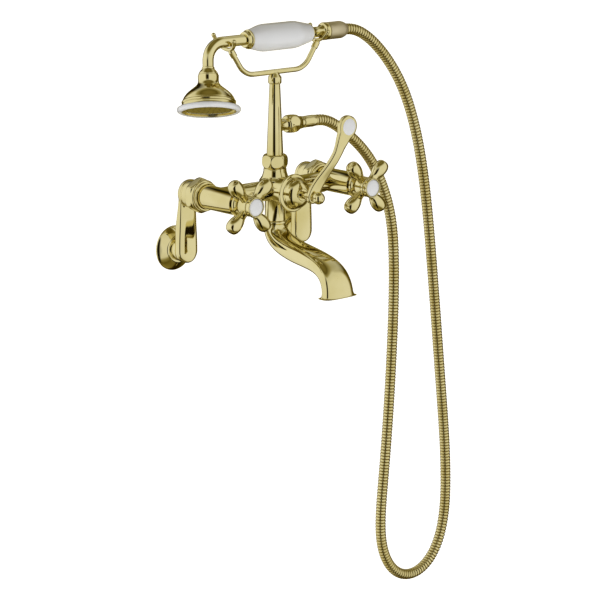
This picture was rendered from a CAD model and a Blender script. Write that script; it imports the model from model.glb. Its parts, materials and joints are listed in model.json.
import json
import bmesh
import bpy
import numpy as np
from mathutils import Matrix

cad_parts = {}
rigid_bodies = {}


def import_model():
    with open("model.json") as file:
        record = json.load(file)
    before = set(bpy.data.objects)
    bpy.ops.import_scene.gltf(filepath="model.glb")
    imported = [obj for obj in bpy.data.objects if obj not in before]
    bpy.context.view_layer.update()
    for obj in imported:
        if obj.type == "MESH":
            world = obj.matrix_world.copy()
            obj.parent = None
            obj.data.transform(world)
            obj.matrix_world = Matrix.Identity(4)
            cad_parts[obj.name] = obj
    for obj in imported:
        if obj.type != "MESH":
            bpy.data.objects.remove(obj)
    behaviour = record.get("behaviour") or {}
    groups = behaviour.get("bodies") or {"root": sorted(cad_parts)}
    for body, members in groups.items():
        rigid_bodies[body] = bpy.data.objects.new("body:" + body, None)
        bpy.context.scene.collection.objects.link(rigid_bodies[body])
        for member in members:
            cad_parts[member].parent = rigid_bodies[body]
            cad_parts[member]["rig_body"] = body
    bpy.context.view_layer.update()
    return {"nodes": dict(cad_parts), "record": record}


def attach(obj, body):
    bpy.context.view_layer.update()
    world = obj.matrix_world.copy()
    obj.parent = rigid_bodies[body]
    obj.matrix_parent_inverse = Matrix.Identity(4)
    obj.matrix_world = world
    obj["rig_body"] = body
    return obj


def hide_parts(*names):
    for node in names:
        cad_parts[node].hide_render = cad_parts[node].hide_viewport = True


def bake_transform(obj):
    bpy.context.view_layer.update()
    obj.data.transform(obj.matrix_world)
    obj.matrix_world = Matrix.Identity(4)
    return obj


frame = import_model()
nodes = frame["nodes"]
scene = bpy.context.scene
mm = 0.001
inletSides = (("hot", -89), ("cold", 89))  # each inlet's place right of the middle, mm
slotOf = {part["node"]: part["material_slot"] for part in frame["record"]["subparts"]}
print("frame:", len(nodes), "CAD nodes")

# camera: 13 degrees above the mixer, from its left front
cameraSet = {
    "right": (0.74896, -0.66262, 0.0),
    "up": (0.15236, 0.17221, 0.97322),
    "back": (-0.64487, -0.72890, 0.22993),
    "place": (-1.79055, -2.14544, 0.58313),
    "lens": 144.0,
    "sensor": 36.0,
    "near": 0.1,
    "far": 60.0,
}


def aimCamera(look):
    data = bpy.data.cameras.new("camera")
    data.lens, data.sensor_width = look["lens"], look["sensor"]
    data.clip_start, data.clip_end = look["near"], look["far"]
    camera = bpy.data.objects.new("camera", data)
    turn = Matrix((look["right"], look["up"], look["back"])).transposed().to_4x4()
    camera.matrix_world = Matrix.Translation(look["place"]) @ turn
    scene.collection.objects.link(camera)
    scene.camera = camera


aimCamera(cameraSet)
scene.view_settings.view_transform = "Standard"
print("camera set")


# node trees: small helpers that add a node, set its inputs and link what comes in
def addNode(tree, kind, inputs=None, **settings):
    node = tree.nodes.new(kind)
    for key, value in settings.items():
        setattr(node, key, value)
    for key, value in (inputs or {}).items():
        if hasattr(value, "links"):
            tree.links.new(value, node.inputs[key])
        else:
            node.inputs[key].default_value = value
    return node


def addRamp(tree, factor, stops):
    ramp = addNode(tree, "ShaderNodeValToRGB", {"Fac": factor})
    marks = ramp.color_ramp.elements  # a new ramp has two already
    for i, (place, colour) in enumerate(stops):
        mark = marks[i] if i < 2 else marks.new(place)
        mark.position = place
        mark.color = (*colour, 1.0)
    return ramp.outputs["Color"]


def newGroup(name, inputs, outputs):
    tree = bpy.data.node_groups.new(name, "ShaderNodeTree")
    for key, (kind, value) in inputs.items():
        tree.interface.new_socket(key, in_out="INPUT", socket_type=kind).default_value = value
    for key, kind in outputs.items():
        tree.interface.new_socket(key, in_out="OUTPUT", socket_type=kind)
    return tree, tree.nodes.new("NodeGroupInput").outputs, tree.nodes.new("NodeGroupOutput").inputs


polishSet = {"driftDetail": 3.0, "markDetail": 2.0, "tarnishFrom": 0.42, "tarnishFull": 0.75}


# hand polish: metal mixed to tarnish where a slow noise is high, roughness = gloss + spread x noise, marks as a height
def makePolishGroup(look):
    tree, given, out = newGroup("handPolish", {
        "Metal": ("NodeSocketColor", (0.8, 0.7, 0.45, 1)),
        "Tarnish": ("NodeSocketColor", (0.6, 0.5, 0.25, 1)),
        "Gloss": ("NodeSocketFloat", 0.06),
        "Spread": ("NodeSocketFloat", 0.05),
        "Drift Scale": ("NodeSocketFloat", 22.0),
        "Mark Scale": ("NodeSocketFloat", 900.0),
    }, {"Color": "NodeSocketColor", "Roughness": "NodeSocketFloat", "Height": "NodeSocketFloat"})
    place = addNode(tree, "ShaderNodeTexCoord").outputs["Object"]
    drift = addNode(tree, "ShaderNodeTexNoise", {"Vector": place, "Scale": given["Drift Scale"],
                                                  "Detail": look["driftDetail"]})
    marks = addNode(tree, "ShaderNodeTexNoise", {"Vector": place, "Scale": given["Mark Scale"],
                                                  "Detail": look["markDetail"]})
    share = addNode(tree, "ShaderNodeMapRange", {"Value": drift.outputs["Fac"], "From Min": look["tarnishFrom"],
                                                  "From Max": look["tarnishFull"]})
    colour = addNode(tree, "ShaderNodeMix", {"Factor": share.outputs["Result"], "A": given["Metal"],
                                             "B": given["Tarnish"]}, data_type="RGBA")
    uneven = addNode(tree, "ShaderNodeMath", {0: drift.outputs["Fac"], 1: given["Spread"], 2: given["Gloss"]},
                     operation="MULTIPLY_ADD")
    tree.links.new(colour.outputs["Result"], out["Color"])
    tree.links.new(uneven.outputs["Value"], out["Roughness"])
    tree.links.new(marks.outputs["Fac"], out["Height"])
    return tree


polishGroup = makePolishGroup(polishSet)


def newMaterial(name):
    material = bpy.data.materials.new(name)
    material.use_nodes = True
    tree = material.node_tree
    return material, tree, tree.nodes["Principled BSDF"].inputs


def setInputs(shader, values):
    for key, value in values.items():
        shader[key].default_value = value


bumpHeight = 0.0002  # metres between the lowest and the highest mark
brassLook = {"metal": (0.79, 0.708, 0.368, 1), "tarnish": (0.675, 0.585, 0.245, 1), "gloss": 0.012, "spread": 0.045,
             "drift": 18.0, "marks": 700.0, "depth": 0.02}


# brass: the polish group's colour, roughness and marks on a bare metal shader
def makeBrass(name, look):
    material, tree, shader = newMaterial(name)
    polish = addNode(tree, "ShaderNodeGroup", {}, node_tree=polishGroup)
    for key, value in (("Metal", look["metal"]), ("Tarnish", look["tarnish"]), ("Gloss", look["gloss"]),
                       ("Spread", look["spread"]), ("Drift Scale", look["drift"]), ("Mark Scale", look["marks"])):
        polish.inputs[key].default_value = value
    bump = addNode(tree, "ShaderNodeBump", {"Height": polish.outputs["Height"], "Strength": look["depth"],
                                            "Distance": bumpHeight})
    tree.links.new(polish.outputs["Color"], shader["Base Color"])
    tree.links.new(polish.outputs["Roughness"], shader["Roughness"])
    tree.links.new(bump.outputs["Normal"], shader["Normal"])
    setInputs(shader, {"Metallic": 1.0})
    return material


polishedBrass = makeBrass("polishedBrass", brassLook)

hoseLook = {"metal": (0.80, 0.71, 0.36, 1), "tarnish": (0.67, 0.56, 0.22, 1), "gloss": 0.21, "spread": 0.10,
            "drift": 26.0, "marks": 900.0, "depth": 0.03, "groove": (0.38, 0.285, 0.06, 1)}


# hose brass: the same metal, browned where the mesh attribute says that a groove is deep
def makeHoseBrass(look):
    material = makeBrass("hoseBrass", look)
    tree = material.node_tree
    shader = tree.nodes["Principled BSDF"].inputs
    metal = shader["Base Color"].links[0].from_socket
    deep = addNode(tree, "ShaderNodeAttribute", {}, attribute_name="groove").outputs["Fac"]
    colour = addNode(tree, "ShaderNodeMix", {"Factor": deep, "A": metal, "B": look["groove"]}, data_type="RGBA")
    tree.links.new(colour.outputs["Result"], shader["Base Color"])
    return material


hoseBrass = makeHoseBrass(hoseLook)

satinLook = {"metal": (0.74, 0.66, 0.45, 1), "tarnish": (0.66, 0.58, 0.38, 1), "gloss": 0.44, "spread": 0.14,
             "drift": 60.0, "marks": 500.0, "lines": (1600.0, 30.0, 30.0), "depth": 0.25}


# satin brass: the polish group with brushing lines that run round the nut, whose axis is X
def makeSatin(look):
    material = makeBrass("satinBrass", look)
    tree = material.node_tree
    place = addNode(tree, "ShaderNodeTexCoord").outputs["Object"]
    stretched = addNode(tree, "ShaderNodeMapping", {"Vector": place, "Scale": look["lines"]})
    lines = addNode(tree, "ShaderNodeTexNoise", {"Vector": stretched.outputs["Vector"], "Scale": 1.0, "Detail": 3.0})
    bump = next(node for node in tree.nodes if node.type == "BUMP")
    tree.links.new(lines.outputs["Fac"], bump.inputs["Height"])
    return material


satinBrass = makeSatin(satinLook)

glazeLook = {"body": (0.68, 0.688, 0.71, 1), "cool": (0.64, 0.65, 0.675, 1), "wave": 28.0, "depth": 0.05,
             "ripple": 0.0006, "smooth": 0.16, "dull": 0.28, "coat": 0.6, "coatGloss": 0.05, "ior": 1.52}


# porcelain: white body with a faint cool drift under a clear, slightly wavy glaze
def makePorcelain(look):
    material, tree, shader = newMaterial("porcelainGlaze")
    place = addNode(tree, "ShaderNodeTexCoord").outputs["Object"]
    wave = addNode(tree, "ShaderNodeTexNoise", {"Vector": place, "Scale": look["wave"], "Detail": 2.0})
    colour = addNode(tree, "ShaderNodeMix", {"Factor": wave.outputs["Fac"], "A": look["body"], "B": look["cool"]},
                     data_type="RGBA")
    rough = addNode(tree, "ShaderNodeMapRange", {"Value": wave.outputs["Fac"], "To Min": look["smooth"],
                                                 "To Max": look["dull"]})
    bump = addNode(tree, "ShaderNodeBump", {"Height": wave.outputs["Fac"], "Strength": look["depth"],
                                            "Distance": look["ripple"]})
    tree.links.new(colour.outputs["Result"], shader["Base Color"])
    tree.links.new(rough.outputs["Result"], shader["Roughness"])
    tree.links.new(bump.outputs["Normal"], shader["Normal"])
    setInputs(shader, {"Coat Weight": look["coat"], "Coat Roughness": look["coatGloss"], "IOR": look["ior"]})
    return material


porcelainGlaze = makePorcelain(glazeLook)

discLook = {"light": (0.82, 0.81, 0.78, 1), "dark": (0.72, 0.71, 0.69, 1), "gloss": 0.2, "spread": 0.2,
            "grain": 1500.0, "depth": 0.1}
rubberLook = {"light": (0.03, 0.03, 0.03, 1), "dark": (0.015, 0.015, 0.015, 1), "gloss": 0.6, "spread": 0.2,
              "grain": 900.0, "depth": 0.3}


# plain inner stuffs: fine grained ceramic and matt rubber, a speckle in colour, roughness and height
def makeGrained(name, look):
    material, tree, shader = newMaterial(name)
    place = addNode(tree, "ShaderNodeTexCoord").outputs["Object"]
    grain = addNode(tree, "ShaderNodeTexNoise", {"Vector": place, "Scale": look["grain"], "Detail": 4.0}).outputs["Fac"]
    colour = addNode(tree, "ShaderNodeMix", {"Factor": grain, "A": look["light"], "B": look["dark"]}, data_type="RGBA")
    uneven = addNode(tree, "ShaderNodeMapRange", {"Value": grain, "To Min": look["gloss"],
                                                  "To Max": look["gloss"] + look["spread"]})
    bump = addNode(tree, "ShaderNodeBump", {"Height": grain, "Strength": look["depth"], "Distance": bumpHeight})
    tree.links.new(colour.outputs["Result"], shader["Base Color"])
    tree.links.new(uneven.outputs["Result"], shader["Roughness"])
    tree.links.new(bump.outputs["Normal"], shader["Normal"])
    return material


discCeramic = makeGrained("discCeramic", discLook)
washerRubber = makeGrained("washerRubber", rubberLook)
finishes = {"polished_brass": polishedBrass, "satin_brass": satinBrass, "porcelain": porcelainGlaze,
            "ceramic_disc": discCeramic, "rubber": washerRubber}
print("materials:", ", ".join(m.name for m in finishes.values()))


# faces over a grid of points (rows, around, 3): quads joined round; the ends are closed by fans or joined in a loop,
# and all faces are turned over where most of them look towards the middle of their rings
def gridFaces(grid, ends):
    rows, around = grid.shape[:2]
    points = grid.reshape(-1, 3)
    i, j = np.meshgrid(np.arange(rows if ends == "loop" else rows - 1), np.arange(around), indexing="ij")
    k, m = (j + 1) % around, (i + 1) % rows
    quads = np.stack([i * around + j, i * around + k, m * around + k, m * around + j], -1).reshape(-1, 4)
    corners = points[quads]
    normal = np.cross(corners[:, 2] - corners[:, 0], corners[:, 3] - corners[:, 1])
    middle = grid.mean(1)
    outward = corners.mean(1) - ((middle[i] + middle[m]) / 2).reshape(-1, 3)
    faces = quads.tolist()
    if ends == "closed":
        n, last = np.arange(around), (rows - 1) * around
        points = np.vstack([points, middle[0], middle[-1]])
        faces += np.stack([np.full(around, rows * around), (n + 1) % around, n], -1).tolist()
        faces += np.stack([np.full(around, rows * around + 1), last + n, last + (n + 1) % around], -1).tolist()
    if (normal * outward).sum() < 0:
        faces = [face[::-1] for face in faces]
    return points, faces


gridSharp = 0.7  # radians between two faces past which their edge stays sharp


# one mesh from several grids, each with the way its ends are closed
def gridMesh(name, *grids):
    points, faces, base = [], [], 0
    for grid, ends in grids:
        own, quads = gridFaces(grid, ends)
        points.append(own)
        faces += [[base + v for v in face] for face in quads]
        base += len(own)
    mesh = bpy.data.meshes.new(name)
    mesh.from_pydata(np.vstack(points).tolist(), [], faces)
    mesh.shade_smooth()
    mesh.set_sharp_from_angle(angle=gridSharp)
    return mesh


# a piece stands for one CAD node: it rides on that node's body and takes its slot
def addPiece(name, mesh, node, material=None, rides=True):
    piece = bpy.data.objects.new(name, mesh)
    scene.collection.objects.link(piece)
    mesh.materials.clear()
    mesh.materials.append(material or finishes[slotOf[node]])
    if rides:
        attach(piece, nodes[node]["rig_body"])
    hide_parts(node)
    return piece


# the hose hangs in the riser's plane, from the outlet down, round and up to the hand shower, (x, z) in mm
hoseSet = {
    "route": [
        (60, 143), (74, 143), (88, 138), (101, 130), (114, 121), (127, 111), (140, 99), (153, 84), (165, 65),
        (176, 42), (185, 16), (190, -14), (192, -50), (192, -95), (190, -145), (187, -200), (183, -255),
        (178, -310), (173, -355), (172, -391), (179, -421), (195, -444), (217, -456), (241, -455),
        (262, -442), (277, -419), (285, -387), (287, -350), (284, -290), (275, -215), (266, -135),
        (256, -50), (247, 20), (236, 80), (222, 129), (203, 172), (177, 207), (150, 232), (126, 245), (109, 246)],
    "plane": -78.0,
    "radius": 6.6,
    "groove": 1.1,
    "pitch": 3.9,
    "bead": 0.55,
    "samples": 4000,
    "rowsPerRib": 6,
    "around": 24,
}


# a uniform cubic B-spline through held ends: each point of the line is a blend of four route points
def splineLine(route, count):
    held = np.vstack([route[:1], route[:1], route, route[-1:], route[-1:]])
    spans = len(held) - 3
    t = np.linspace(0, spans, count)
    i = np.minimum(t.astype(int), spans - 1)
    f = (t - i)[:, None]
    weights = [(1 - f) ** 3, 3 * f ** 3 - 6 * f ** 2 + 4, -3 * f ** 3 + 3 * f ** 2 + 3 * f + 1, f ** 3]
    return sum(w * held[i + k] for k, w in enumerate(weights)) / 6


# the same line at equal steps of its own length
def evenLine(line, count):
    run = np.concatenate([[0], np.cumsum(np.linalg.norm(np.diff(line, axis=0), axis=1))])
    at = np.linspace(0, run[-1], count)
    return np.stack([np.interp(at, run, line[:, k]) for k in range(line.shape[1])], -1), run[-1]


# rings of a radius carried along a line in an upright plane y = const, turned to face along it
def ringsAlong(line, radius, around, plane):
    step = np.gradient(line, axis=0)
    step /= np.linalg.norm(step, axis=1)[:, None]
    turn = np.linspace(0, 2 * np.pi, around, endpoint=False)
    r = np.asarray(radius)[:, None]
    x = line[:, :1] - step[:, 1:] * r * np.cos(turn)
    z = line[:, 1:] + step[:, :1] * r * np.cos(turn)
    y = plane + r * np.sin(turn)
    return np.stack([x, y, z], -1)


# ribbed hose: radius = full radius - groove x (1 - |sine| to a power below one), a full bead between narrow grooves
def makeHose(look):
    line, length = evenLine(splineLine(np.array(look["route"], float), look["samples"]), look["samples"])
    ribs = int(round(length / look["pitch"]))
    count = ribs * look["rowsPerRib"] + 1
    line, length = evenLine(line, count)
    wave = np.abs(np.sin(np.pi * np.arange(count) / look["rowsPerRib"])) ** look["bead"]
    rings = ringsAlong(line, look["radius"] - look["groove"] * (1 - wave), look["around"], look["plane"])
    mesh = gridMesh("showerHose", (rings * mm, "closed"))
    deep = mesh.attributes.new("groove", "FLOAT", "POINT")
    deep.data.foreach_set("value", np.append(np.repeat(1 - wave, look["around"]), (1, 1)).astype(np.float32))
    piece = addPiece("showerHose", mesh, "hose", hoseBrass, rides=False)
    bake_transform(piece)
    return length


print("hose:", round(makeHose(hoseSet)), "mm")


# a profile of (radius, distance) with each corner eased to a short parabola, within a share of its shorter leg
def easedLine(profile, radius, steps=6, share=0.48):
    line = np.array(profile, float)
    corner = line[1:-1]
    back, ahead = line[:-2] - corner, line[2:] - corner
    backLength, aheadLength = (np.linalg.norm(way, axis=1)[:, None] for way in (back, ahead))
    cut = np.minimum(radius, share * np.minimum(backLength, aheadLength))
    first, last = corner + back / backLength * cut, corner + ahead / aheadLength * cut
    t = np.linspace(0, 1, steps)[None, :, None]
    bend = (1 - t) ** 2 * first[:, None] + 2 * t * (1 - t) * corner[:, None] + t ** 2 * last[:, None]
    return np.vstack([line[:1], bend.reshape(-1, 2), line[-1:]])


# a profile spun: point = place + distance x along + radius x (cosine x across + sine x up)
def spun(line, axis, around=96):
    place, along, across = (np.array(v, float) for v in axis)
    up = np.cross(along, across)
    turn = np.linspace(0, 2 * np.pi, around, endpoint=False)[:, None]
    ring = np.cos(turn) * across + np.sin(turn) * up
    return (place + line[:, 1, None, None] * along + line[:, 0, None, None] * ring) * mm


# places in mm: where the body's axes meet, and the middle of the hand shower's grip
mixerPlace = np.array((0.0, -78.0, 69.0))
handsetPlace = np.array((0.0, -78.0, 246.0))
headSet = {"roll": 16.0, "turn": 78.0, "bend": 25.0, "root": 39.1, "start": 78.5, "leg": 17.5, "neck": 6.3,
           "rows": 60, "around": 48}


# points of the hand shower turned about its long axis by the roll
def rolled(points):
    roll = np.radians(headSet["roll"])
    x, y, z = np.moveaxis(np.asarray(points, float), -1, 0)
    return np.stack([x, y * np.cos(roll) + z * np.sin(roll), z * np.cos(roll) - y * np.sin(roll)], -1)


# an axis is a place, the way along it and a way across it; the head's starts at the end of the neck's bend
def headAxis(look):
    turn = np.radians(look["turn"])
    end = (-look["start"] - look["bend"] * np.sin(turn), 0, look["bend"] * (np.cos(turn) - 1))
    return handsetPlace + rolled(end), rolled((-np.cos(turn), 0, -np.sin(turn))), rolled((0, 1, 0))


# forward from the body at a valve, and forward from the wall at an inlet
def frontAxis(x):
    return mixerPlace + (x, 0, 0), (0, -1, 0), (1, 0, 0)


def wallAxis(x):
    return mixerPlace + (x, 0, -mixerPlace[2]), (0, -1, 0), (1, 0, 0)


rightAxis = (handsetPlace, (1, 0, 0), (0, 1, 0))
upAxis = (mixerPlace, (0, 0, 1), (1, 0, 0))

# turned pieces: profiles of (radius, distance along the axis) in mm
turnedSet = {
    "grip": {"axis": rightAxis, "ease": 5.0, "profile": [
        (5.3, -38.5), (10.6, -38.5), (11.0, -38.0), (15.75, -20.5), (15.75, 29.0), (10.9, 50.8), (10.4, 51.5),
        (5.3, 51.5)]},
    "front_ferrule": {"axis": rightAxis, "ease": 0.5, "profile": [
        (6.35, -46.1), (8.0, -46.1), (9.0, -45.7), (9.3, -44.6), (9.0, -43.6), (9.5, -42.0), (10.2, -41.2),
        (11.2, -40.6), (11.3, -39.5), (10.7, -38.8), (6.35, -38.8)]},
    "shower_bell": {"axis": headAxis(headSet), "ease": 1.5, "profile": [
        (6.4, 6.5), (6.9, 6.5), (7.2, 7.0), (7.3, 9.3), (8.5, 9.8), (9.2, 11.0), (10.5, 12.6), (11.2, 14.6),
        (11.2, 15.2), (11.7, 15.6), (11.8, 17.4), (11.6, 21.4), (11.7, 23.4), (12.4, 25.3), (13.8, 27.2),
        (16.0, 29.2), (19.4, 31.9), (22.8, 34.6), (25.7, 37.6), (27.9, 40.8), (29.0, 43.2), (29.2, 44.3),
        (30.1, 44.8), (30.5, 45.9), (30.3, 47.0), (29.8, 47.5), (30.3, 48.2), (30.5, 50.2), (30.9, 51.2),
        (32.0, 51.7), (32.0, 56.9), (30.5, 56.9), (30.4, 52.0), (28.4, 52.0), (28.4, 47.4), (26.5, 45.0),
        (24.0, 41.0), (20.2, 37.0), (15.8, 32.9), (11.4, 28.2), (9.6, 24.6), (9.5, 17.6), (6.4, 17.6)]},
    "bell_ring": {"axis": headAxis(headSet), "ease": 2.2, "profile": [
        (32.05, 51.7), (33.2, 51.4), (35.2, 52.4), (35.8, 54.3), (35.4, 56.3), (33.8, 57.6), (31.4, 57.8),
        (30.3, 57.3), (30.7, 56.95), (32.05, 56.95)]},
    "diverter_bonnet": {"axis": frontAxis(0), "ease": 1.8, "profile": [
        (4.6, 31.0), (21.7, 31.0), (22.2, 31.9), (22.0, 33.2), (21.0, 33.9), (18.5, 34.5), (17.6, 35.9),
        (17.5, 38.5), (16.8, 41.6), (14.8, 44.8), (11.6, 47.0), (8.6, 48.2), (7.2, 48.5), (6.8, 49.0), (4.6, 49.0)]},
    "lever_ball_nut": {"axis": frontAxis(0), "ease": 2.0, "profile": [
        (3.1, 69.2), (3.9, 69.1), (5.0, 69.9), (6.3, 71.6), (7.15, 73.7), (7.3, 75.6), (6.9, 78.0), (5.7, 80.2),
        (3.9, 81.7), (2.0, 82.4), (0.3, 82.45), (0.2, 76.0), (3.1, 76.0)]},
}
for side, x in inletSides:
    turnedSet[side + "_wall_flange"] = {"axis": wallAxis(x), "ease": 1.4, "profile": [
        (13.6, -78.0), (26.4, -78.0), (26.5, -76.9), (26.0, -76.0), (24.2, -74.4), (21.4, -72.4), (18.4, -70.4),
        (16.6, -69.2), (15.9, -68.6), (15.7, -67.1), (15.0, -66.9), (13.6, -66.9)]}
    turnedSet[side + "_index_cap"] = {"axis": frontAxis(x), "ease": 0.8, "profile": [
        (0.1, 63.4), (6.0, 63.4), (6.0, 65.7), (10.2, 65.7), (11.6, 66.4), (12.0, 68.2), (11.9, 70.2), (11.3, 71.4),
        (10.6, 71.7), (10.0, 71.2), (9.85, 70.2), (9.85, 68.0), (0.1, 68.0)]}
    turnedSet[side + "_index_button"] = {"axis": frontAxis(x), "ease": 1.6, "profile": [
        (0.1, 68.1), (9.75, 68.1), (9.75, 70.3), (9.2, 71.0), (7.0, 71.7), (4.0, 72.1), (1.5, 72.3), (0.1, 72.3)]}

for name, look in turnedSet.items():
    line = easedLine(look["profile"], look["ease"])
    addPiece(name + ".turned", gridMesh(name + ".turned", (spun(line, look["axis"]), "loop")), name)
print("turned pieces:", ", ".join(turnedSet))

# nuts: a turned barrel with six flats, (radius, distance) in mm, between the two distances in "flats"
nutSet = {
    "riser_nut": {"axis": upAxis, "flat": 13.5, "corner": 90, "flats": (25.1, 41.1), "ease": 2.2, "profile": [
        (9.7, 25.1), (12.4, 25.1), (14.2, 27.2), (15.4, 30.2), (15.6, 33.1), (15.4, 36.0), (14.2, 39.0), (12.4, 41.1),
        (9.7, 41.1)]},
    "hose_outlet_nut": {"axis": (mixerPlace + (0, 0, 74), (1, 0, 0), (0, 1, 0)), "flat": 10.0, "corner": 0,
                        "flats": (16.4, 33.2), "ease": 1.6, "profile": [
        (7.0, 16.4), (8.6, 16.4), (10.2, 18.2), (11.1, 21.4), (11.2, 25.0), (10.9, 29.0), (9.8, 32.2), (8.8, 33.4),
        (8.4, 34.6), (7.6, 37.0), (7.2, 41.0), (6.1, 41.0), (6.1, 33.0), (7.0, 32.0)]},
}
for side, x in inletSides:
    nutSet[side + "_union_nut"] = {"axis": frontAxis(x), "flat": 18.6, "corner": 90, "flats": (-33.0, -21.6),
                                   "ease": 1.3, "profile": [
        (12.6, -33.0), (17.8, -33.0), (19.8, -31.8), (20.9, -29.6), (21.0, -27.5), (20.8, -25.2), (19.9, -23.2),
        (18.7, -22.2), (18.6, -20.2), (17.6, -19.0), (15.9, -18.7), (15.9, -17.9), (16.9, -17.6), (17.2, -16.8),
        (17.0, -15.8), (16.2, -15.2), (13.95, -15.2), (13.95, -27.0), (12.6, -27.3)]}
flatSet = {"around": 192, "start": 1.0, "inner": 0.8, "far": 1e3, "blend": 48.0}  # far: a radius that cuts nothing


# the radius is a smooth least of the barrel's and the flats': the sum of both to a high negative power, rooted
def flattened(line, look, flat):
    turn = np.linspace(0, 2 * np.pi, flat["around"], endpoint=False)
    off = np.mod(turn - np.radians(look["corner"]), np.pi / 3) - np.pi / 6
    low, high = look["flats"]
    radius, at = line[:, :1], line[:, 1:]
    inFlats = (at > low - flat["start"]) & (at < high) & (radius > look["flat"] * flat["inner"])
    cut = np.where(inFlats, look["flat"] / np.cos(off), flat["far"])
    soft = (radius ** -flat["blend"] + cut ** -flat["blend"]) ** (-1 / flat["blend"])
    place, along, across = (np.array(v, float) for v in look["axis"])
    ring = np.cos(turn)[:, None] * across + np.sin(turn)[:, None] * np.cross(along, across)
    return (place + at[:, :, None] * along + soft[:, :, None] * ring) * mm


for name, look in nutSet.items():
    line = easedLine(look["profile"], look["ease"])
    addPiece(name + ".turned", gridMesh(name + ".turned", (flattened(line, look, flatSet), "loop")), name)
print("nuts:", ", ".join(nutSet))

# cross handles: a turned hub and four turned lobes, each thin at its neck and full towards its tip
handleSet = {
    "angle": 41.0, "front": 59.3, "hubEase": 1.0, "lobeEase": 3.0, "lobeAround": 48,
    "hub": [(4.2, 48.5), (9.0, 48.5), (10.6, 49.8), (11.5, 52.4), (11.6, 56.0), (11.6, 61.4), (10.8, 64.0),
            (9.6, 64.7), (9.6, 65.6), (4.2, 65.6)],
    "lobe": [(3.0, 8.0), (4.9, 9.6), (4.7, 13.0), (5.2, 16.4), (6.8, 20.2), (8.2, 24.6), (8.7, 29.4), (8.2, 33.8),
             (6.6, 37.2), (3.8, 38.6), (0.02, 38.7)],
}


def makeHandle(name, x, look):
    hub = spun(easedLine(look["hub"], look["hubEase"]), frontAxis(x))
    profile = easedLine(look["lobe"], look["lobeEase"])
    middle = mixerPlace + (x, -look["front"], 0)
    angles = np.radians(look["angle"] + np.arange(0, 360, 90))
    axes = [(middle, (np.cos(a), 0, np.sin(a)), (0, -1, 0)) for a in angles]
    lobes = [(spun(profile, axis, look["lobeAround"]), "closed") for axis in axes]
    addPiece(name + ".cross", gridMesh(name + ".cross", (hub, "loop"), *lobes), name)


for side, x in inletSides:
    makeHandle(side + "_handle", x, handleSet)
print("handles: 2")


# a size that grows from nothing, from a start over a span: share squared x (3 - 2 x share)
def grown(t, size, start, span):
    share = np.clip((t - start) / span, 0, 1)
    return size * (share * share * (3 - 2 * share))


# the share of the thickness that is left past an end: the root of (1 - the way past it to a power)
def endRound(past, power, most=0.999):
    return (1 - np.clip(past, 0, most) ** power) ** (1 / power)


# superellipse ring: half width x cosine and half thickness x sine, each to a power with its sign kept
def roundedRing(half, thick, power, around):
    turn = np.linspace(0, 2 * np.pi, around, endpoint=False)
    c, s = np.cos(turn), np.sin(turn)
    across = half[:, None] * np.sign(c) * np.abs(c) ** power[:, None]
    return across, thick[:, None] * np.sign(s) * np.abs(s) ** power[:, None]


# lever: a rounded blade that leans and steps forward, waisted in the middle, with a disc at its end
leverSet = {"lean": 27.0, "reach": 88.0, "eye": 8.1, "end": 13.0, "thick": 3.75, "root": 65.0,
            "step": 14.5, "stepFrom": 0.6, "stepOver": 0.62,
            "waist": (2.3, 0.0, 0.5), "swell": (3.4, 0.58, 0.36), "blend": 8, "edge": 4,
            "power": 2.7, "squarer": (2.6, 62, 18), "least": 0.01, "poleGap": 0.02, "rows": 170, "around": 64}


# half the width = eye - waist + swell, joined to the disc by the root of the sum of both to a high power
def makeLever(look):
    u = (1 - np.cos(np.linspace(look["poleGap"], np.pi - look["poleGap"], look["rows"]))) / 2
    d = -look["eye"] + u * (look["reach"] + look["end"] + look["eye"])
    t = d / look["reach"]
    blade = look["eye"] - grown(t, *look["waist"]) + grown(t, *look["swell"])
    eye = np.sqrt(np.maximum(look["eye"] ** 2 - d ** 2, look["least"]))
    disc = np.sqrt(np.maximum(look["end"] ** 2 - (d - look["reach"]) ** 2, look["least"]))
    joined = (blade ** look["blend"] + disc ** look["blend"]) ** (1 / look["blend"])
    half = np.where(d < 0, eye, np.where(d > look["reach"], disc, joined))
    past = np.where(d < 0, -d / look["eye"], np.where(d > look["reach"], (d - look["reach"]) / look["end"], 0))
    thick = look["thick"] * endRound(past, look["edge"])
    power = 2 / (look["power"] + grown(d, *look["squarer"]))
    across, front = roundedRing(half, thick, power, look["around"])
    rise = grown(d, look["step"], look["stepFrom"] * look["eye"], look["stepOver"] * look["reach"])
    lean = np.radians(look["lean"])
    d = d[:, None]
    x = d * np.sin(lean) + across * np.cos(lean)
    z = d * np.cos(lean) - across * np.sin(lean)
    y = -(look["root"] + rise[:, None] + front)
    mesh = gridMesh("leverBlade", ((mixerPlace + np.stack([x, y, z], -1)) * mm, "closed"))
    addPiece("leverBlade", mesh, "diverter_lever")


makeLever(leverSet)

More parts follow.
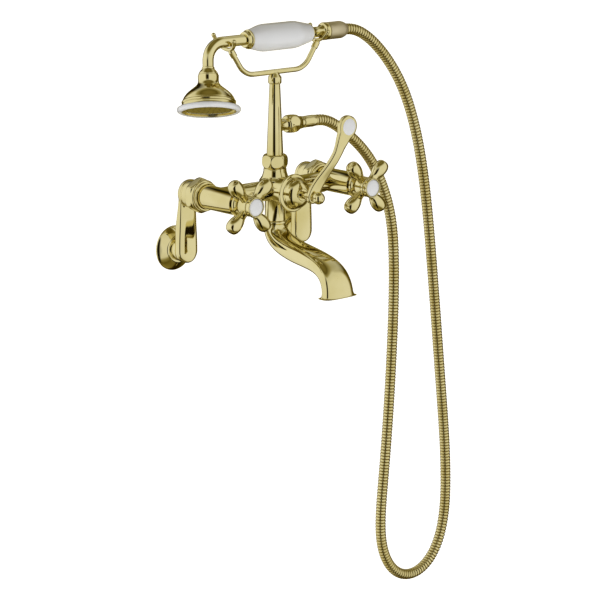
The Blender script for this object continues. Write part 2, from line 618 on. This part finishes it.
# swing arms: a crowned plate with round ends, thicker towards the wall, with the union's ring and the wall boss
armSet = {
    "round": 14.0, "grow": 0.2, "taper": 2.6, "drop": 69.0, "front": -48.0, "power": 0.58, "edge": 5, "least": 1e-5,
    "rear": [(-83, -61.4), (-39, -60.6), (-14, -56.1), (14, -53.5)],  # (height, how far back the plate goes)
    "poleGap": 0.03, "rows": 130, "around": 88, "ringEase": 0.7, "ease": 0.4,
    "ring": [(11.0, -50.0), (15.4, -50.0), (16.2, -47.6), (16.2, -45.0), (15.6, -44.2), (15.6, -42.6),
             (16.2, -41.8), (16.2, -35.0), (15.4, -33.9), (11.0, -33.9)],
    "spigot": [(6.0, -36.0), (11.95, -36.0), (11.95, -27.2), (13.2, -27.0), (13.2, -23.9), (6.0, -23.9)],
    "boss": [(10.48, -78.0), (13.0, -78.0), (13.5, -77.5), (13.5, -58.6), (6.0, -58.6), (6.0, -63.0),
             (10.48, -63.0)],
}


# the plate: rounded rings up its length, half the width = tapered width x root of (1 - the way past the end squared)
def makeArm(name, x, look):
    low, high = -look["drop"] - look["round"], look["round"]
    turn = np.linspace(look["poleGap"], np.pi - look["poleGap"], look["rows"])
    v = low + (high - low) * (1 - np.cos(turn)) / 2
    past = np.maximum(np.maximum(v, -look["drop"] - v), 0) / look["round"]
    wide = look["round"] + look["grow"] - grown(v, look["taper"], -look["drop"], look["drop"])
    half = wide * np.sqrt(np.maximum(1 - past ** 2, look["least"]))
    rear = np.interp(v, *np.array(look["rear"]).T)
    thick = (look["front"] - rear) / 2 * endRound(past, look["edge"])
    across, front = roundedRing(half, thick, np.full(len(v), look["power"]), look["around"])
    y = -((look["front"] + rear) / 2)[:, None] - front
    plate = mixerPlace + np.stack([x + across, y, np.broadcast_to(v[:, None], across.shape)], -1)
    ring = spun(easedLine(look["ring"], look["ringEase"]), frontAxis(x))
    spigot = spun(easedLine(look["spigot"], look["ease"]), frontAxis(x))
    boss = spun(easedLine(look["boss"], look["ease"]), wallAxis(x))
    mesh = gridMesh(name + ".formed", (plate * mm, "closed"), (ring, "loop"), (spigot, "loop"), (boss, "loop"))
    addPiece(name + ".formed", mesh, name)


for side, x in inletSides:
    makeArm(side + "_swing_arm", x, armSet)
print("arms: 2")

# spout: rounded rings along a falling curve (forward, down), round at the root, squarer and flared at the lip
spoutSet = {
    "route": [(0, 40), (0, 46), (4, 54), (16, 62), (34, 67), (52, 70), (72, 73), (88, 77), (101, 85), (107, 97),
              (108, 105), (108, 109)],
    "root": 12.6, "widen": (2.2, 0, 0.3), "spread": (6, 0.45, 0.4), "thin": (1.2, 0, 0.3), "flatten": (3.4, 0.4, 0.4),
    "square": (0.38, 0, 0.5), "flareFrom": 0.78, "flareOver": 0.2, "flarePower": 2.4, "flareWide": 4.6,
    "flareThick": 3.2, "lipFrom": 0.965, "lipOver": 0.035, "lipPower": 2.5, "lip": 1.6,
    "wall": 2.6, "rows": 150, "innerRows": 60, "around": 96,
}


# sizes grow along the line; past the lip the same rings run back inside, smaller by the wall
def makeSpout(look):
    count = look["rows"]
    line = splineLine(np.array(look["route"], float), count)
    way = np.gradient(line, axis=0)
    way /= np.linalg.norm(way, axis=1)[:, None]
    t = np.linspace(0, 1, count)
    flare = np.clip((t - look["flareFrom"]) / look["flareOver"], 0, 1) ** look["flarePower"]
    half = look["root"] + grown(t, *look["widen"]) + grown(t, *look["spread"]) + look["flareWide"] * flare
    thick = look["root"] - grown(t, *look["thin"]) - grown(t, *look["flatten"]) + look["flareThick"] * flare
    power = 1 - grown(t, *look["square"])
    rounding = look["lip"] * np.maximum(0, (t - look["lipFrom"]) / look["lipOver"]) ** look["lipPower"]
    back = np.arange(count - 1, count - look["innerRows"], -1)
    pick = np.concatenate([np.arange(count), back])
    inset = np.concatenate([rounding, np.full(len(back), look["wall"])])
    across, up = roundedRing(half[pick] - inset, thick[pick] - inset, power[pick], look["around"])
    line, way = line[pick], way[pick]
    y = -line[:, :1] - way[:, 1:] * up
    z = -line[:, 1:] + way[:, :1] * up
    mesh = gridMesh("spoutShell", ((mixerPlace + np.stack([across, y, z], -1)) * mm, "closed"))
    addPiece("spoutShell", mesh, "spout")


makeSpout(spoutSet)

# cradle rod: a round bar, level over the riser and rising to the yokes, (x, height above the body axis)
rodSet = {"radius": 3.0, "level": 136.6, "run": (6.1, 14.1, 22.1, 30.1, 38.1), "corner": 45.1, "rise": 56.0,
          "steps": (7, 15, 21, 31.4, 34.4), "rows": 160, "around": 32}


# one half's points, level and then rising at an angle, are mirrored to the left and joined by a spline
def makeRod(look):
    rise = np.radians(look["rise"])
    right = [(x, look["level"]) for x in look["run"]]
    right += [(look["corner"] + d * np.cos(rise), look["level"] + d * np.sin(rise)) for d in look["steps"]]
    right = np.array(right)
    line = splineLine(np.vstack([right[::-1] * (-1, 1), right]), look["rows"])
    rings = ringsAlong(line, np.full(look["rows"], look["radius"]), look["around"], 0.0)
    mesh = gridMesh("cradleRod", ((mixerPlace + rings) * mm, "closed"))
    addPiece("cradleRod", mesh, "cradle_bar")


makeRod(rodSet)


# neck: a tube along a straight, a round bend and a short straight, in the plane that leans with the head
def makeNeck(look):
    turn = np.radians(look["turn"]) * np.linspace(0, 1, look["rows"])[:, None]
    bend = np.hstack([-look["start"] - look["bend"] * np.sin(turn), look["bend"] * (np.cos(turn) - 1)])
    way = np.array((-np.cos(turn[-1, 0]), -np.sin(turn[-1, 0])))
    line = np.vstack([[(-look["root"], 0)], bend, [bend[-1] + way * look["leg"]]])
    rings = ringsAlong(line, np.full(len(line), look["neck"]), look["around"], 0.0)
    mesh = gridMesh("neckTube", ((handsetPlace + rolled(rings)) * mm, "closed"))
    addPiece("neckTube", mesh, "handset_neck")


makeNeck(headSet)
print("lever, spout, cradle rod and neck made")

# polished copies of turned and milled nodes: doubles merged, flat faces joined, shading smooth up to an angle
copySet = {"merge": 2e-6, "flat": 0.002, "sharp": 0.55}


def polishedCopy(name, look):
    mesh = nodes[name].data.copy()
    addPiece(name + ".polished", mesh, name)
    shell = bmesh.new()
    shell.from_mesh(mesh)
    bmesh.ops.remove_doubles(shell, verts=shell.verts, dist=look["merge"])
    bmesh.ops.dissolve_limit(shell, angle_limit=look["flat"], verts=shell.verts, edges=shell.edges)
    shell.to_mesh(mesh)
    shell.free()
    mesh.shade_smooth()
    mesh.set_sharp_from_angle(angle=look["sharp"])


for name, node in nodes.items():
    node.data.materials.clear()
    node.data.materials.append(finishes[slotOf[name]])
print("slots:", {slot: list(slotOf.values()).count(slot) for slot in finishes})

replaced = {"hose", "handset_neck", "diverter_lever", "spout", "cradle_bar", "hot_handle", "cold_handle",
            "hot_swing_arm", "cold_swing_arm", *turnedSet, *nutSet}
# words in the names of nodes that are out of sight
inner = ("washer", "seal", "disc", "cartridge", "hot_stem", "cold_stem", "plug", "inner", "screw")
shown = [name for name in nodes if name not in replaced and not any(word in name for word in inner)]
for name in shown:
    polishedCopy(name, copySet)
print("polished copies:", len(shown))

# stage: pale floor under the hanging hose, and a soft studio all round
floorSet = {"height": -0.75, "half": 14.0, "pale": (0.93, 0.93, 0.92, 1), "shade": 0.98, "cloud": 3.0, "rough": 0.9,
            "lift": 0.85}


def makeFloor(look):
    material, tree, shader = newMaterial("paleFloor")
    place = addNode(tree, "ShaderNodeTexCoord").outputs["Object"]
    cloud = addNode(tree, "ShaderNodeTexNoise", {"Vector": place, "Scale": look["cloud"]})
    shade = tuple(v * look["shade"] for v in look["pale"][:3]) + (1,)
    colour = addNode(tree, "ShaderNodeMix", {"Factor": cloud.outputs["Fac"], "A": look["pale"], "B": shade},
                     data_type="RGBA")
    tree.links.new(colour.outputs["Result"], shader["Base Color"])
    setInputs(shader, {"Roughness": look["rough"], "Emission Color": (1, 1, 1, 1), "Emission Strength": look["lift"]})
    h, z = look["half"], look["height"]
    mesh = bpy.data.meshes.new("floor")
    mesh.from_pydata([(-h, -h, z), (h, -h, z), (h, h, z), (-h, h, z)], [], [(0, 1, 2, 3)])
    mesh.materials.append(material)
    floor = bpy.data.objects.new("floor", mesh)
    scene.collection.objects.link(floor)
    floor.visible_glossy = False


makeFloor(floorSet)

dark, brown, olive, pale = (0.015, 0.011, 0.002), (0.06, 0.044, 0.005), (0.22, 0.16, 0.018), (1.0, 1.0, 1.01)
studioSet = {
    "seen": 1.0,
    "panels": 0.92,
    # round the horizon from west through south (0.25), east (0.5) and north (0.75): two pale panels, dark between
    "sides": [(0.0, pale), (0.035, pale), (0.06, (0.26, 0.20, 0.05)), (0.08, dark), (0.145, dark),
              (0.165, (0.91, 0.905, 0.89)), (0.41, (0.95, 0.945, 0.93)), (0.44, olive), (0.49, brown),
              (0.55, (0.15, 0.115, 0.013)), (0.60, (0.25, 0.205, 0.05)), (0.66, (0.24, 0.19, 0.045)),
              (0.685, dark), (0.71, dark), (0.735, olive), (0.77, pale), (1.0, pale)],
    "overhead": (0.8, 0.8, 0.78, 1),
    "overheadFrom": 0.5,
    "overheadFull": 0.8,
    # from straight down (0) to straight up (1): dim olive floor, pale panels, a darker ceiling
    "heights": [(0.0, (0.34, 0.28, 0.09)), (0.08, (0.15, 0.115, 0.02)), (0.14, (0.38, 0.33, 0.14)),
                (0.20, (0.9, 0.89, 0.85)), (0.36, pale), (0.86, pale), (0.90, (0.52, 0.47, 0.26)),
                (0.95, (0.17, 0.135, 0.03)), (1.0, (0.28, 0.23, 0.08))],
}


# studio: the backdrop is plain white; what the metal mirrors is a tent of pale panels with dark gaps, the colour by the
# way round (angle of x and y) times the colour by the height (z)
def makeStudio(look):
    world = bpy.data.worlds.new("studio")
    scene.world = world
    world.use_nodes = True
    tree = world.node_tree
    tree.nodes.clear()
    way = addNode(tree, "ShaderNodeTexCoord").outputs["Generated"]
    parts = addNode(tree, "ShaderNodeSeparateXYZ", {"Vector": way}).outputs
    angle = addNode(tree, "ShaderNodeMath", {0: parts["Y"], 1: parts["X"]}, operation="ARCTAN2")
    turned = addNode(tree, "ShaderNodeMath", {0: angle.outputs[0], 1: 1 / (2 * np.pi), 2: 0.5},
                     operation="MULTIPLY_ADD")
    sides = addRamp(tree, turned.outputs[0], look["sides"])
    high = addNode(tree, "ShaderNodeMapRange", {"Value": parts["Z"], "From Min": -1.0, "From Max": 1.0})
    heights = addRamp(tree, high.outputs["Result"], look["heights"])
    top = addNode(tree, "ShaderNodeMapRange", {"Value": parts["Z"], "From Min": look["overheadFrom"],
                                               "From Max": look["overheadFull"]})
    overhead = addNode(tree, "ShaderNodeMix", {"Factor": top.outputs["Result"], "A": sides, "B": look["overhead"]},
                       data_type="RGBA")
    both = addNode(tree, "ShaderNodeMix", {"Factor": 1.0, "A": overhead.outputs["Result"], "B": heights},
                   data_type="RGBA", blend_type="MULTIPLY")
    tent = addNode(tree, "ShaderNodeBackground", {"Color": both.outputs["Result"], "Strength": look["panels"]})
    plain = addNode(tree, "ShaderNodeBackground", {"Color": (1, 1, 1, 1), "Strength": look["seen"]})
    camera = addNode(tree, "ShaderNodeLightPath").outputs["Is Camera Ray"]
    mixed = addNode(tree, "ShaderNodeMixShader", {0: camera, 1: tent.outputs[0], 2: plain.outputs[0]})
    out = addNode(tree, "ShaderNodeOutputWorld")
    tree.links.new(mixed.outputs[0], out.inputs["Surface"])


makeStudio(studioSet)

lightSet = {
    "keyLeft": {"place": (-1.9, -0.9, 1.7), "aim": (0, -0.1, 0.0), "size": 1.0, "power": 7.0},
    "fillRight": {"place": (1.5, -2.2, 0.9), "aim": (0, -0.1, 0.0), "size": 0.9, "power": 4.0},
}


# soft square lamps, each turned to face what it is aimed at
def makeLights(lights):
    for name, look in lights.items():
        data = bpy.data.lights.new(name, "AREA")
        data.energy, data.size = look["power"], look["size"]
        lamp = bpy.data.objects.new(name, data)
        back = np.array(look["place"]) - np.array(look["aim"])
        back /= np.linalg.norm(back)
        right = np.cross((0, 0, 1), back)
        right /= np.linalg.norm(right)
        turn = Matrix((right, np.cross(back, right), back)).transposed().to_4x4()
        lamp.matrix_world = Matrix.Translation(look["place"]) @ turn
        lamp.visible_glossy = False
        scene.collection.objects.link(lamp)


makeLights(lightSet)
print("stage and light set")
